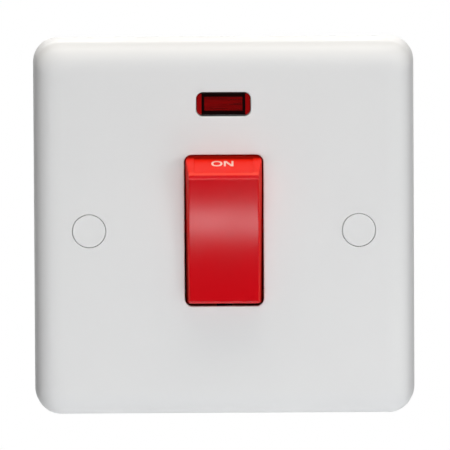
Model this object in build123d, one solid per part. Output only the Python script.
from build123d import *
import math
import os

# A 45 A double pole wall switch with a neon indicator, in millimetres.
# X runs to the right, Z up and +Y into the wall. The plate's back rim lies in the plane Y = 0.
# It is modelled switched on: the foot of the rocker is pressed in and both poles are closed.

# Faceplate
plate_width = 85.0
plate_height = 85.0
plate_depth = 9.0
plate_corner_radius = 5.5
face_corner_radius = 1.6
edge_run = 6.2
edge_drop = 5.5
edge_fullness = 2.7
edge_steps = 12
wall_draft = 0.3
front_wall = 2.5
rim_wall = 2.2
cavity_draft = 2.4
cavity_corner_radius = 3.0
rib_thickness = 1.4
rib_height = 4.0

# Fixing screws and their caps
fixing_centres = 60.3
boss_wall = 2.0
boss_setback = 1.0
cap_radius = 3.7
cap_thickness = 1.5
cap_clearance = 0.12
cap_edge_radius = 0.2
cap_skirt_wall = 0.6
cap_skirt_length = 0.6
screw_head_radius = 3.3
screw_head_height = 2.2
screw_head_gap = 0.2
screw_head_clearance = 0.2
screw_slot_width = 0.9
screw_slot_depth = 1.0
fixing_screw_radius = 1.75
fixing_screw_length = 25.0
fixing_neck_radius = 1.55
fixing_neck_stand_out = 0.5
fixing_hole_clearance = 0.35

# Rocker, with its heights counted forward of the pivot
opening_width = 17.65
opening_height = 34.05
opening_corner_radius = 1.6
opening_edge_radius = 0.3
pivot_depth = 6.0
rocker_gap = 0.65
rocker_side_gap = 0.25
rocker_tilt = 8.0
crest_half_height = 14.75
crest_rise = 10.7
crest_radius = 0.5
dish_sag = 1.6
bevel_foot_rise = 3.2
skirt_drop = 1.0
rocker_side_draft = 6.0
rocker_edge_radius = 0.4
rocker_wall = 1.7
notch_bevel = 0.9
notch_dish = 0.48
notch_setback = 0.6
notch_drop = 0.2
label_width = 13.2
label_border = 0.9
label_corner_radius = 0.5
label_depth = 0.2
trunnion_radius = 1.6
trunnion_clearance = 0.05
trunnion_length = 2.6
lug_wall = 1.0

# Plungers and their springs, in tubes behind the rocker
pole_offset = 5.0
plunger_radius = 2.0
plunger_clearance = 0.08
plunger_tip_gap = 0.1
plunger_stand_out = 5.0
plunger_top_drop = 3.0
plunger_bore_radius = 1.4
plunger_bore_floor = 1.0
tube_wall = 1.0
spring_seat_wall = 2.4
spring_wire_radius = 0.2
spring_clearance = 0.1
spring_turns = 9

# Moving contacts: V-shaped blades that see-saw on a bead
lever_length = 18.0
blade_width = 6.0
blade_thickness = 1.2
blade_half_length = 10.5
valley_rise = 1.9
wing_angle = 9.0
bead_radius = 1.0
bead_clearance = 0.06
tip_radius = 1.8
tip_thickness = 0.8
tip_offset = 8.0
contact_gap = 0.08

# Supply cradles, strips and terminals
cradle_half_height = 2.2
cradle_lead = 0.2
cradle_depth = 3.0
strip_thickness = 1.2
load_strip_end = 6.0
terminal_length = 11.4
terminal_end_gap = 0.2
terminal_bore_radius = 2.9
terminal_wall = 2.1
terminal_side_gap = 0.2
terminal_screw_radius = 2.0
terminal_screw_clearance = 0.05
terminal_screw_spacing = 5.2
terminal_screw_length = 6.2
screw_tip_setback = 0.3
stop_post_radius = 1.5
stop_post_clearance = 0.2
stop_post_offset = 8.5

# Base
base_wall = 2.0
base_inner_width = 27.0
base_inner_height = 60.0
base_floor = 2.8
base_corner_radius = 2.0
partition_thickness = 3.0
partition_gap = 1.5
bearing_gap = 0.725
bearing_half_height = 3.5
bearing_setback = 0.3
access_clearance = 0.4
cable_window_width = 9.0
cable_window_depth = 8.0
post_gap = 0.5
ear_centre_z = 22.0
ear_radius = 3.4
ear_thickness = 3.0
post_radius = 3.0
base_screw_radius = 1.42
base_screw_head_radius = 2.7
base_screw_head_height = 2.0
base_screw_bite = 5.5
pilot_clearance = 0.03
ear_hole_clearance = 0.2
hold_down_radius = 1.6
hold_down_offset = 3.5
hold_down_inset = 2.6
hold_down_gap = 0.1

# Neon window and lamp
window_width = 12.2
window_height = 5.5
window_corner_radius = 1.5
window_edge_radius = 0.3
window_z = 28.6
lens_gap = 0.1
lens_setback = 0.4
lens_wall = 1.25
lens_front_wall = 1.0
lens_flange = 1.2
lens_flange_thickness = 1.0
compartment_wall = 1.0
compartment_gap = 0.35
holder_gap = 0.2
holder_wall = 1.6
holder_stand_out = 1.0
glass_radius = 2.1
glass_half_length = 5.0
glass_wall = 0.4
glass_gap = 0.4
trough_gap = 0.1
trough_end = 5.6
lead_radius = 0.25
lead_spacing = 1.1
lead_seal_gap = 0.02
lead_turn_x = 6.4
lead_bend = 0.8
lead_slot_width = 1.0
lead_slot_height = 2.2
electrode_end = 3.0
resistor_radius = 1.2
resistor_waist_radius = 0.95
resistor_bead_length = 1.5
resistor_half_length = 3.25
resistor_gap = 1.2

# Places worked out from the sizes above
face_y = -plate_depth
inner_face_y = front_wall - plate_depth
head_seat_depth = cap_thickness + cap_skirt_length + screw_head_gap + screw_head_height
boss_radius = screw_head_radius + screw_head_clearance + boss_wall
pivot_y = pivot_depth - plate_depth
opening_reach = math.hypot(opening_height / 2, pivot_depth)
rocker_reach = opening_reach - rocker_gap
rocker_width = opening_width - 2 * rocker_side_gap
bevel_foot_z = math.sqrt(rocker_reach ** 2 - bevel_foot_rise ** 2)
bearing_inner = rocker_width / 2 + bearing_gap
trunnion_reach = bearing_inner + trunnion_length
lug_radius = trunnion_radius + lug_wall
spring_seat_rise = crest_rise - dish_sag - spring_seat_wall
plunger_centre_drop = lever_length - valley_rise - plunger_radius - plunger_tip_gap
tube_end_drop = plunger_centre_drop - plunger_stand_out
dish_radius = (crest_half_height ** 2 + dish_sag ** 2) / (2 * dish_sag)
tube_bore_radius = plunger_radius + plunger_clearance
tube_radius = tube_bore_radius + tube_wall
contact_y = pivot_y + lever_length
closed_blade_front = contact_y - valley_rise * math.cos(math.radians(wing_angle))
closed_blade_back = closed_blade_front + blade_thickness
fixed_tip_front = closed_blade_back + tip_thickness + contact_gap
load_strip_front = fixed_tip_front + tip_thickness
load_strip_back = load_strip_front + strip_thickness
supply_strip_front = contact_y + cradle_depth
floor_front = supply_strip_front + strip_thickness
base_back = floor_front + base_floor
base_width = base_inner_width + 2 * base_wall
base_height = base_inner_height + 2 * base_wall
skirt_swing = skirt_drop + rocker_reach * math.sin(math.radians(rocker_tilt))
partition_front = pivot_y + skirt_swing + partition_gap
ear_centre_x = base_width / 2 + post_radius + post_gap
terminal_outer = base_inner_height / 2 - terminal_end_gap
terminal_inner = terminal_outer - terminal_length
terminal_bore_y = load_strip_front - terminal_wall - terminal_bore_radius
terminal_front = terminal_bore_y - terminal_bore_radius - terminal_wall
terminal_x = (partition_thickness + base_inner_width) / 4
terminal_width = (base_inner_width - partition_thickness) / 2 - 2 * terminal_side_gap
terminal_z = (terminal_inner + terminal_outer) / 2
hold_down_x = terminal_x + hold_down_offset
hold_down_z = terminal_inner + hold_down_inset
lens_width = window_width - 2 * lens_gap
lens_height = window_height - 2 * lens_gap
flange_width = lens_width + 2 * lens_flange
flange_height = lens_height + 2 * lens_flange
flange_back = inner_face_y + lens_flange_thickness
compartment_width = flange_width + 2 * compartment_gap
compartment_height = flange_height + 2 * compartment_gap
holder_width = compartment_width - 2 * holder_gap
holder_height = compartment_height - 2 * holder_gap
glass_y = flange_back + glass_radius + glass_gap
holder_back = glass_y + glass_radius + trough_gap + holder_wall
compartment_end = holder_back - holder_stand_out
resistor_y = holder_back + resistor_gap + resistor_radius
sides = {"left": -1, "right": 1}


def front_plane(y):
    """A drawing plane parallel to the wall, with X to the right and Z up."""
    return Plane(origin=(0, y, 0), x_dir=(1, 0, 0), z_dir=(0, -1, 0))


def slab(outline, y_back, y_front):
    """An outline drawn on the wall, pulled forward from one depth to another."""
    return extrude(front_plane(y_back) * outline, amount=y_back - y_front)


def disc(x, z, radius, y_back, y_front):
    return slab(Pos(x, z) * Circle(radius), y_back, y_front)


def block(x_range, y_range, z_range):
    low = Vector(x_range[0], y_range[0], z_range[0])
    high = Vector(x_range[1], y_range[1], z_range[1])
    size = high - low
    return Pos((low + high) * 0.5) * Box(size.X, size.Y, size.Z)


def bar_x(radius, x_start, x_end, y, z):
    """A round bar along X."""
    return Pos((x_start + x_end) / 2, y, z) * Rot(0, 90, 0) * Cylinder(radius, x_end - x_start)


def prism_x(outline, width):
    """A side view, drawn as (y, z), pulled to both sides of the middle."""
    return extrude(Plane.YZ * outline, amount=width / 2, both=True)


def solids_of(pieces):
    """Separate solids that share one node."""
    return Compound(children=[piece.solid() for piece in pieces])


# Faceplate

def plate_section(inset, depth, corner):
    outline = RectangleRounded(plate_width - 2 * inset, plate_height - 2 * inset, corner)
    return front_plane(-depth) * outline


def plate_body():
    """The outer form: a short drafted wall, and a full, rounded edge that rolls onto the flat face."""
    wall_depth = plate_depth - edge_drop
    wall = loft([
        plate_section(0, 0, plate_corner_radius),
        plate_section(wall_draft, wall_depth, plate_corner_radius),
    ])
    sections = []
    for step in range(edge_steps + 1):
        angle = math.radians(90 * step / edge_steps)
        roll = 1 - abs(math.cos(angle)) ** (2 / edge_fullness)
        rise = math.sin(angle) ** (2 / edge_fullness)
        corner = plate_corner_radius - (plate_corner_radius - face_corner_radius) * roll
        depth = wall_depth + edge_drop * rise
        sections.append(plate_section(wall_draft + edge_run * roll, depth, corner))
    return wall + loft(sections)


def plate_cavity():
    return loft([
        plate_section(rim_wall, 0, cavity_corner_radius),
        plate_section(rim_wall + cavity_draft, plate_depth - front_wall, cavity_corner_radius),
    ])


def opening_cutter():
    """The rocker's opening follows a disc about the pivot, so the gap stays even as it tilts."""
    wheel = Rot(0, 90, 0) * Cylinder(opening_reach, opening_width)
    wheel = fillet(wheel.edges().filter_by(GeomType.CIRCLE), opening_corner_radius)
    return Pos(0, pivot_y, 0) * wheel


def make_faceplate():
    plate = plate_body() - plate_cavity()
    for side in sides.values():
        boss_x = side * fixing_centres / 2
        plate += disc(boss_x, 0, boss_radius, -boss_setback, inner_face_y)
        rib_end = side * (plate_width / 2 - rim_wall)
        rib_x = sorted([boss_x, rib_end])
        rib_z = (-rib_thickness / 2, rib_thickness / 2)
        plate += block(rib_x, (inner_face_y, inner_face_y + rib_height), rib_z)
        pad_inner = bearing_inner + bearing_setback
        pad_outer = trunnion_reach - bearing_setback
        pad_back = pivot_y - trunnion_radius - 2 * trunnion_clearance
        pad_half = trunnion_radius - bearing_setback
        pad_x = sorted([side * pad_inner, side * pad_outer])
        plate += block(pad_x, (inner_face_y, pad_back), (-pad_half, pad_half))
        for end in (-1, 1):
            post_x, post_z = side * ear_centre_x, end * ear_centre_z
            plate += disc(post_x, post_z, post_radius, 0, inner_face_y)
            pilot_back = -base_screw_bite - pilot_clearance
            plate -= disc(post_x, post_z, base_screw_radius + pilot_clearance, 0, pilot_back)
            post_end = terminal_front - hold_down_gap
            plate += disc(side * hold_down_x, end * hold_down_z, hold_down_radius, post_end, inner_face_y)
    compartment = Rectangle(compartment_width, compartment_height)
    compartment = offset(compartment, amount=compartment_wall, kind=Kind.INTERSECTION) - compartment
    plate += slab(Pos(0, window_z) * compartment, compartment_end, inner_face_y)

    plate -= opening_cutter()
    window = RectangleRounded(window_width, window_height, window_corner_radius)
    plate -= slab(Pos(0, window_z) * window, inner_face_y, face_y)
    for side in sides.values():
        boss_x = side * fixing_centres / 2
        seat_y = face_y + head_seat_depth
        plate -= disc(boss_x, 0, cap_radius + cap_clearance, face_y + cap_thickness, face_y)
        plate -= disc(boss_x, 0, screw_head_radius + screw_head_clearance, seat_y, face_y)
        plate -= disc(boss_x, 0, fixing_screw_radius + fixing_hole_clearance, 0, face_y)
    return round_front_edges(plate)


def round_front_edges(plate):
    """The small moulded radius around the rocker's opening and the window."""
    face = plate.faces().sort_by(Axis.Y)[0]
    rims = face.inner_wires().sort_by(lambda wire: wire.length)
    plate = fillet(rims[-1].edges(), opening_edge_radius)
    face = plate.faces().sort_by(Axis.Y)[0]
    rims = [wire for wire in face.inner_wires() if abs(wire.center().Z - window_z) < window_height]
    return fillet(rims[0].edges(), window_edge_radius)


def make_screw_cap(side):
    cap = disc(0, 0, cap_radius, face_y + cap_thickness, face_y)
    cap = fillet(cap.edges().sort_by(Axis.Y)[0], cap_edge_radius)
    skirt_radius = screw_head_radius + screw_head_clearance / 2
    skirt_back = face_y + cap_thickness + cap_skirt_length
    skirt = disc(0, 0, skirt_radius, skirt_back, face_y + cap_thickness)
    skirt -= disc(0, 0, skirt_radius - cap_skirt_wall, skirt_back, face_y + cap_thickness)
    return Pos(side * fixing_centres / 2, 0, 0) * (cap + skirt)


def slotted_screw(head_radius, head_height, shank_radius, shank_length):
    """A cheese-head screw along Y: head in front of the seat at Y = 0, shank behind it."""
    screw = disc(0, 0, head_radius, 0, -head_height) + disc(0, 0, shank_radius, shank_length, 0)
    slot_y = (-head_height, screw_slot_depth - head_height)
    slot = block((-head_radius, head_radius), slot_y, (-screw_slot_width / 2, screw_slot_width / 2))
    return screw - slot


def make_fixing_screws():
    """Under the head each screw has a plain neck, and its full radius starts just behind the boss."""
    screw = slotted_screw(screw_head_radius, screw_head_height, fixing_screw_radius, fixing_screw_length)
    seat_y = face_y + head_seat_depth
    neck_length = fixing_neck_stand_out - boss_setback - seat_y
    screw -= disc(0, 0, fixing_screw_radius, neck_length, 0) - disc(0, 0, fixing_neck_radius, neck_length, 0)
    return solids_of([Pos(side * fixing_centres / 2, seat_y, 0) * screw for side in sides.values()])


# Rocker, drawn about its pivot and then tilted to the ON position

def dish_height(z):
    """How far the dished face stands forward of the pivot."""
    return crest_rise - dish_sag + dish_radius - math.sqrt(dish_radius ** 2 - z ** 2)


def rocker_outline(reach):
    """Side view: dished face, two crests and the bevels that run down past the disc's reach."""
    slope = (crest_rise - bevel_foot_rise) / (bevel_foot_z - crest_half_height)
    end_rise = crest_rise - slope * (reach - crest_half_height)
    crest = (-crest_rise, crest_half_height)
    low_crest = (-crest_rise, -crest_half_height)
    edges = [
        ThreePointArc(low_crest, (dish_sag - crest_rise, 0), crest),
        Line(crest, (-end_rise, reach)),
        Line((-end_rise, reach), (skirt_drop, reach)),
        Line((skirt_drop, reach), (skirt_drop, -reach)),
        Line((skirt_drop, -reach), (-end_rise, -reach)),
        Line((-end_rise, -reach), low_crest),
    ]
    return make_face(edges)


def rocker_block():
    """The solid form before it is hollowed: side view, drafted sides and rounded ends together."""
    outline = rocker_outline(rocker_reach + rocker_gap)
    crests = [v for v in outline.vertices() if abs(v.X + crest_rise) < rocker_gap]
    form = prism_x(fillet(crests, crest_radius), opening_width)
    half = rocker_width / 2
    lean = math.tan(math.radians(rocker_side_draft))
    front_half = half - (crest_rise - bevel_foot_rise) * lean
    plan = Polygon(
        (half, skirt_drop), (half, -bevel_foot_rise), (front_half, -crest_rise),
        (-front_half, -crest_rise), (-half, -bevel_foot_rise), (-half, skirt_drop), align=None)
    form &= extrude(plan, amount=opening_height, both=True)
    rims = []
    for edge in form.edges():
        middle = edge.center()
        on_side = abs(middle.X) > front_half - rocker_edge_radius
        if on_side and middle.Y < -bevel_foot_rise - crest_radius:
            rims.append(edge)
    form = fillet(rims, rocker_edge_radius)
    # Behind the bevels the ends run close to the opening, so there they are round about the pivot
    wheel = Rot(0, 90, 0) * Cylinder(rocker_reach, rocker_width)
    front = block((-half, half), (-crest_rise - rocker_gap, -bevel_foot_rise), (-rocker_reach, rocker_reach))
    face = RectangleRounded(rocker_width, 2 * rocker_reach, opening_corner_radius - rocker_side_gap)
    return form & (wheel + front) & extrude(Plane.XZ * face, amount=2 * crest_rise, both=True)


def rocker_hollow():
    inner = offset(rocker_outline(rocker_reach), amount=-rocker_wall, kind=Kind.INTERSECTION)
    hollow = prism_x(inner, rocker_width - 2 * rocker_wall)
    hollow &= Rot(0, 90, 0) * Cylinder(rocker_reach - rocker_wall, rocker_width)
    depth = max(rocker_wall, skirt_drop) + skirt_drop
    mouth_z = rocker_reach - 2 * rocker_wall
    half_width = rocker_width / 2 - rocker_wall
    mouth = block((-half_width, half_width), (-depth, skirt_drop), (-mouth_z, mouth_z))
    return hollow + mouth


def crest_notch(end):
    """The step at one crest: a narrow land that leans forward, then the raised edge of the dish."""
    share = notch_bevel / math.hypot(crest_rise - bevel_foot_rise, bevel_foot_z - crest_half_height)
    crest = Vector(crest_rise, crest_half_height)
    border = crest + (Vector(bevel_foot_rise, bevel_foot_z) - crest) * share
    lip_z = crest_half_height - notch_dish
    lip = Vector(dish_height(lip_z), lip_z)
    floor = crest - Vector(notch_setback, notch_drop)
    # The outer corners lie as far beyond the surface as the floor lies behind it
    corners = [floor, border * 2 - floor, crest * 3 - floor * 2, lip * 2 - floor]
    return prism_x(Polygon(*[(-point.X, end * point.Y) for point in corners], align=None), opening_width)


def label_field(end):
    """A shallow field on the bevel, open at the rocker's end, where the position is marked."""
    run = Vector(0, crest_rise - bevel_foot_rise, end * (bevel_foot_z - crest_half_height))
    crest = Vector(0, -crest_rise, end * crest_half_height)
    outward = run.cross(Vector(end, 0, 0)).normalized()
    start = notch_bevel + label_border
    finish = run.length + rocker_gap
    bevel = Plane(origin=crest + run.normalized() * ((start + finish) / 2), x_dir=(1, 0, 0), z_dir=outward)
    field = RectangleRounded(label_width, finish - start, label_corner_radius)
    return extrude(bevel * field, amount=label_depth, both=True)


def tilt_rocker(piece):
    return Pos(0, pivot_y, 0) * Rot(rocker_tilt, 0, 0) * piece


def make_rocker():
    rocker = rocker_block() - rocker_hollow()
    half = rocker_width / 2
    for side in sides.values():
        tube_x = side * pole_offset
        tube_front = dish_sag - crest_rise + rocker_wall / 2
        rocker += disc(tube_x, 0, tube_radius, tube_end_drop, tube_front)
        lug = sorted([side * (half - rocker_wall), side * (half - rocker_edge_radius / 2)])
        rocker += bar_x(lug_radius, lug[0], lug[1], 0, 0)
        pin = sorted([side * (half - rocker_wall / 2), side * trunnion_reach])
        rocker += bar_x(trunnion_radius, pin[0], pin[1], 0, 0)
    for side in sides.values():
        rocker -= disc(side * pole_offset, 0, tube_bore_radius, tube_end_drop, -spring_seat_rise)
    for end in (-1, 1):
        rocker -= crest_notch(end)
        rocker -= label_field(end)
    return tilt_rocker(rocker)


def make_plunger(side):
    plunger = disc(0, 0, plunger_radius, plunger_centre_drop, plunger_top_drop)
    plunger += Pos(0, plunger_centre_drop, 0) * Sphere(plunger_radius)
    bore_back = plunger_centre_drop - plunger_bore_floor
    plunger -= disc(0, 0, plunger_bore_radius, bore_back, plunger_top_drop)
    return tilt_rocker(Pos(side * pole_offset, 0, 0) * plunger)


def make_plunger_spring(side):
    """A coil from the end of the rocker's tube to the floor of the plunger's bore."""
    coil_radius = plunger_bore_radius - spring_clearance - spring_wire_radius
    start = -spring_seat_rise + spring_wire_radius + spring_clearance
    end = plunger_centre_drop - plunger_bore_floor - spring_wire_radius - spring_clearance
    length = end - start
    path = Helix(pitch=length / spring_turns, height=length, radius=coil_radius)
    wire = Plane(origin=path @ 0, z_dir=path % 0) * Circle(spring_wire_radius)
    coil = sweep(wire, path=path, is_frenet=True)
    coil = Pos(side * pole_offset, start, 0) * Rot(-90, 0, 0) * coil
    return tilt_rocker(coil)


# Contacts, strips and terminals, one set for each pole

def wing_point(along, behind):
    """A point of the upper wing: so far from the valley, and so far behind the blade's front."""
    angle = math.radians(wing_angle)
    y = -valley_rise - along * math.sin(angle) + behind * math.cos(angle)
    z = along * math.cos(angle) + behind * math.sin(angle)
    return y, z


def close_contact(piece, side):
    """Set a see-saw piece on its bead, leaning to the closed position."""
    return Pos(side * pole_offset, contact_y, 0) * Rot(-wing_angle, 0, 0) * piece


def make_moving_contact(side):
    front_tip = wing_point(blade_half_length, 0)
    back_tip = wing_point(blade_half_length, blade_thickness)
    back_valley = blade_thickness / math.cos(math.radians(wing_angle)) - valley_rise
    blade = Polygon(
        (-valley_rise, 0), front_tip, back_tip, (back_valley, 0),
        (back_tip[0], -back_tip[1]), (front_tip[0], -front_tip[1]), align=None)
    return close_contact(prism_x(blade + Circle(bead_radius), blade_width), side)


def make_moving_tip(side):
    y, z = wing_point(tip_offset, blade_thickness)
    angle = math.radians(wing_angle)
    seat = Plane(origin=(0, y, z), x_dir=(1, 0, 0), z_dir=(0, math.cos(angle), math.sin(angle)))
    return close_contact(extrude(seat * Circle(tip_radius), amount=tip_thickness), side)


def closed_tip_z():
    """Height of the moving tip once its wing lies parallel to the wall."""
    return tip_offset + valley_rise * math.sin(math.radians(wing_angle))


def make_fixed_tip(side):
    return disc(side * pole_offset, closed_tip_z(), tip_radius, load_strip_front, fixed_tip_front)


def screw_heights(end):
    return [end * (terminal_z + shift * terminal_screw_spacing / 2) for shift in (-1, 1)]


def contact_strip(side, end, y_front, inner_end):
    """A flat strip: narrow under the contact, widening under the terminal block."""
    centre_x = side * pole_offset
    narrow_x = (centre_x - blade_width / 2, centre_x + blade_width / 2)
    wide_x = (side * terminal_x - terminal_width / 2, side * terminal_x + terminal_width / 2)
    y_range = (y_front, y_front + strip_thickness)
    strip = block(narrow_x, y_range, sorted([inner_end, end * terminal_outer]))
    strip += block(wide_x, y_range, sorted([end * terminal_inner, end * terminal_outer]))
    for z in screw_heights(end):
        radius = terminal_screw_radius + terminal_screw_clearance
        strip -= disc(side * terminal_x, z, radius, y_range[1], y_range[0])
    return strip


def make_load_strip(side):
    return contact_strip(side, 1, load_strip_front, load_strip_end)


def make_supply_strip(side):
    strip = contact_strip(side, -1, supply_strip_front, cradle_half_height)
    hole = stop_post_radius + stop_post_clearance
    return strip - disc(side * pole_offset, -stop_post_offset, hole, floor_front, supply_strip_front)


def make_supply_cradle(side):
    centre_x = side * pole_offset
    x_range = (centre_x - blade_width / 2, centre_x + blade_width / 2)
    z_range = (-cradle_half_height, cradle_half_height)
    cradle = block(x_range, (contact_y + cradle_lead, supply_strip_front), z_range)
    return cradle - bar_x(bead_radius + bead_clearance, x_range[0], x_range[1], contact_y, 0)


def make_terminal(side, end, y_back):
    """A brass block with the cable bore along Z and two clamp-screw holes from the back."""
    centre_x = side * terminal_x
    x_range = (centre_x - terminal_width / 2, centre_x + terminal_width / 2)
    z_range = sorted([end * terminal_inner, end * terminal_outer])
    terminal = block(x_range, (terminal_front, y_back), z_range)
    bore = Cylinder(terminal_bore_radius, terminal_outer - terminal_inner)
    terminal -= Pos(centre_x, terminal_bore_y, end * terminal_z) * bore
    for z in screw_heights(end):
        radius = terminal_screw_radius + terminal_screw_clearance
        terminal -= disc(centre_x, z, radius, y_back, terminal_bore_y)
    return terminal


def make_terminal_screws():
    """Eight slotted grub screws, backed off just clear of the cable bores."""
    tip_y = terminal_bore_y + terminal_bore_radius + screw_tip_setback
    end_y = tip_y + terminal_screw_length
    screws = []
    for side in sides.values():
        for end in (-1, 1):
            for z in screw_heights(end):
                x = side * terminal_x
                screw = disc(x, z, terminal_screw_radius, end_y, tip_y)
                slot_x = (x - terminal_screw_radius, x + terminal_screw_radius)
                slot_z = (z - screw_slot_width / 2, z + screw_slot_width / 2)
                screws.append(screw - block(slot_x, (end_y - screw_slot_depth, end_y), slot_z))
    return solids_of(screws)


# Base

def base_shell():
    outline = RectangleRounded(base_width, base_height, base_corner_radius)
    shell = slab(outline, base_back, inner_face_y)
    back_rim = shell.faces().sort_by(Axis.Y)[-1].edges()
    shell = fillet(back_rim, base_corner_radius / 2)
    inside = Rectangle(base_inner_width, base_inner_height)
    return shell - slab(inside, floor_front, inner_face_y)


def base_pole_features(side):
    """What one pole stands on: the bearing for the rocker, the load strip's step and the stop post."""
    bearing_x = sorted([side * bearing_inner, side * base_inner_width / 2])
    bearing_front = inner_face_y + bearing_setback
    bearing_z = (-bearing_half_height, bearing_half_height)
    features = block(bearing_x, (bearing_front, floor_front), bearing_z)
    slot_half = trunnion_radius + trunnion_clearance
    features -= bar_x(slot_half, bearing_x[0], bearing_x[1], pivot_y, 0)
    features -= block(bearing_x, (bearing_front, pivot_y), (-slot_half, slot_half))
    centre_x = side * pole_offset
    step_y = (load_strip_back, floor_front)
    narrow_x = (centre_x - blade_width / 2, centre_x + blade_width / 2)
    features += block(narrow_x, step_y, (load_strip_end, terminal_outer))
    wide_x = (side * terminal_x - terminal_width / 2, side * terminal_x + terminal_width / 2)
    features += block(wide_x, step_y, (terminal_inner, terminal_outer))
    post_front = closed_blade_back + contact_gap
    features += disc(centre_x, -stop_post_offset, stop_post_radius, floor_front, post_front)
    return features


def base_ear(side, end):
    x, z = side * ear_centre_x, end * ear_centre_z
    ear = disc(x, z, ear_radius, ear_thickness, 0)
    root = sorted([side * (base_inner_width / 2 + base_wall / 2), x])
    ear += block(root, (0, ear_thickness), (z - ear_radius, z + ear_radius))
    return ear - disc(x, z, base_screw_radius + ear_hole_clearance, ear_thickness, 0)


def cable_window(side, end):
    """The way through the end wall to one terminal's bore."""
    window = Pos(side * terminal_x, terminal_bore_y) * Rectangle(cable_window_width, cable_window_depth)
    wall = Plane.XY.offset(end * base_inner_height / 2)
    return extrude(wall * window, amount=end * base_wall)


def make_base():
    base = base_shell()
    half_height = base_inner_height / 2
    partition_x = (-partition_thickness / 2, partition_thickness / 2)
    base += block(partition_x, (partition_front, floor_front), (-terminal_inner, terminal_inner))
    base += block(partition_x, (terminal_front, floor_front), (-half_height, half_height))
    for side in sides.values():
        base += base_pole_features(side)
        for end in (-1, 1):
            base += base_ear(side, end)
            base -= cable_window(side, end)
            for z in screw_heights(end):
                access_radius = terminal_screw_radius + access_clearance
                base -= disc(side * terminal_x, z, access_radius, base_back, load_strip_back)
    notch_half = compartment_width / 2 + compartment_wall + holder_gap
    base -= block((-notch_half, notch_half), (inner_face_y, holder_back), (half_height, base_height / 2))
    return base


def make_base_screws():
    """Four screws from the back of the ears into the plate's posts."""
    screw = slotted_screw(base_screw_head_radius, base_screw_head_height, base_screw_radius,
                          ear_thickness + base_screw_bite)
    screw = Rot(180, 0, 0) * screw
    places = [(side * ear_centre_x, end * ear_centre_z) for side in sides.values() for end in (-1, 1)]
    return solids_of([Pos(x, ear_thickness, z) * screw for x, z in places])


# Neon lamp

def make_neon_lens():
    outline = RectangleRounded(lens_width, lens_height, window_corner_radius - lens_gap)
    lens = slab(Pos(0, window_z) * outline, flange_back, face_y + lens_setback)
    front_rim = lens.faces().sort_by(Axis.Y)[0].edges()
    lens = fillet(front_rim, window_edge_radius)
    lens += slab(Pos(0, window_z) * Rectangle(flange_width, flange_height), flange_back, inner_face_y)
    pocket = Rectangle(lens_width - 2 * lens_wall, lens_height - 2 * lens_wall)
    return lens - slab(Pos(0, window_z) * pocket, flange_back, face_y + lens_setback + lens_front_wall)


def make_lamp_holder():
    holder = slab(Pos(0, window_z) * Rectangle(holder_width, holder_height), holder_back, flange_back)
    slot_x = (-lead_turn_x - lead_slot_width / 2, -lead_turn_x + lead_slot_width / 2)
    trough = glass_radius + trough_gap
    holder -= bar_x(trough, slot_x[0], trough_end, glass_y, window_z)
    holder -= block((slot_x[0], trough_end), (flange_back, glass_y), (window_z - trough, window_z + trough))
    slot_z = (window_z - lead_slot_height / 2, window_z + lead_slot_height / 2)
    return holder - block(slot_x, (glass_y, holder_back), slot_z)


def capsule_x(radius, half_length):
    """A round-ended bar along X."""
    straight = half_length - radius
    capsule = bar_x(radius, -straight, straight, 0, 0)
    for side in sides.values():
        capsule += Pos(side * straight, 0, 0) * Sphere(radius)
    return capsule


def lead_height(level):
    return window_z + level * lead_spacing / 2


def make_neon_glass():
    glass = capsule_x(glass_radius, glass_half_length)
    glass -= capsule_x(glass_radius - glass_wall, glass_half_length - glass_wall)
    pinch_end = -glass_half_length
    pinch = block((pinch_end, pinch_end + glass_radius), (-glass_radius / 2, glass_radius / 2),
                  (-lead_spacing, lead_spacing))
    glass += pinch
    for level in (-1, 1):
        z = level * lead_spacing / 2
        glass -= bar_x(lead_radius + lead_seal_gap, pinch_end, pinch_end + glass_radius, 0, z)
    return Pos(0, glass_y, window_z) * glass


def wire_along(points):
    """A round wire along straight runs joined by bends."""
    path = FilletPolyline(*points, radius=lead_bend)
    return sweep(Plane(origin=path @ 0, z_dir=path % 0) * Circle(lead_radius), path=path)


def make_neon_lead_live():
    """The upper electrode, through the seal and straight back to the left load terminal."""
    z = lead_height(1)
    turn = (-lead_turn_x, glass_y, z)
    return wire_along([(electrode_end, glass_y, z), turn, (-lead_turn_x, terminal_front, z)])


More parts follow.
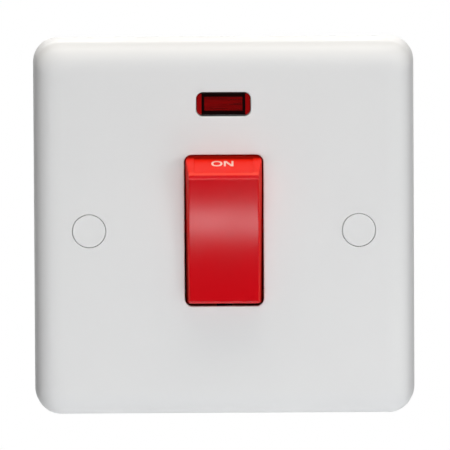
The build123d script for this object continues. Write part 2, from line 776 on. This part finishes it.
def make_neon_lead_series():
    """The lower electrode, through the seal and back to the ballast resistor."""
    z = lead_height(-1)
    points = [
        (electrode_end, glass_y, z),
        (-lead_turn_x, glass_y, z),
        (-lead_turn_x, resistor_y, z),
        (-resistor_half_length, resistor_y, z),
    ]
    return wire_along(points)


def make_resistor_lead():
    z = lead_height(-1)
    corner = (lead_turn_x, resistor_y, z)
    return wire_along([(resistor_half_length, resistor_y, z), corner, (lead_turn_x, terminal_front, z)])


def make_ballast_resistor():
    """A small dumb-bell shaped resistor body along X."""
    body = bar_x(resistor_waist_radius, -resistor_half_length, resistor_half_length, 0, 0)
    bead_start = resistor_half_length - resistor_bead_length
    body += bar_x(resistor_radius, -resistor_half_length, -bead_start, 0, 0)
    body += bar_x(resistor_radius, bead_start, resistor_half_length, 0, 0)
    return Pos(0, resistor_y, lead_height(-1)) * body


def make_parts():
    parts = {
        "faceplate": make_faceplate(),
        "rocker": make_rocker(),
        "fixing_screws": make_fixing_screws(),
        "base": make_base(),
        "base_screws": make_base_screws(),
        "terminal_screws": make_terminal_screws(),
        "neon_lens": make_neon_lens(),
        "lamp_holder": make_lamp_holder(),
        "neon_glass": make_neon_glass(),
        "neon_lead_live": make_neon_lead_live(),
        "neon_lead_series": make_neon_lead_series(),
        "ballast_resistor": make_ballast_resistor(),
        "resistor_lead": make_resistor_lead(),
    }
    for name, side in sides.items():
        parts["screw_cap_" + name] = make_screw_cap(side)
        parts["plunger_" + name] = make_plunger(side)
        parts["plunger_spring_" + name] = make_plunger_spring(side)
        parts["moving_contact_" + name] = make_moving_contact(side)
        parts["moving_contact_tip_" + name] = make_moving_tip(side)
        parts["fixed_contact_tip_" + name] = make_fixed_tip(side)
        parts["load_strip_" + name] = make_load_strip(side)
        parts["supply_strip_" + name] = make_supply_strip(side)
        parts["supply_cradle_" + name] = make_supply_cradle(side)
        parts["load_terminal_" + name] = make_terminal(side, 1, load_strip_front)
        parts["supply_terminal_" + name] = make_terminal(side, -1, supply_strip_front)
    return parts


os.makedirs("parts", exist_ok=True)
for node, solid in make_parts().items():
    export_step(solid, "parts/" + node + ".step")
    print(node, "written")
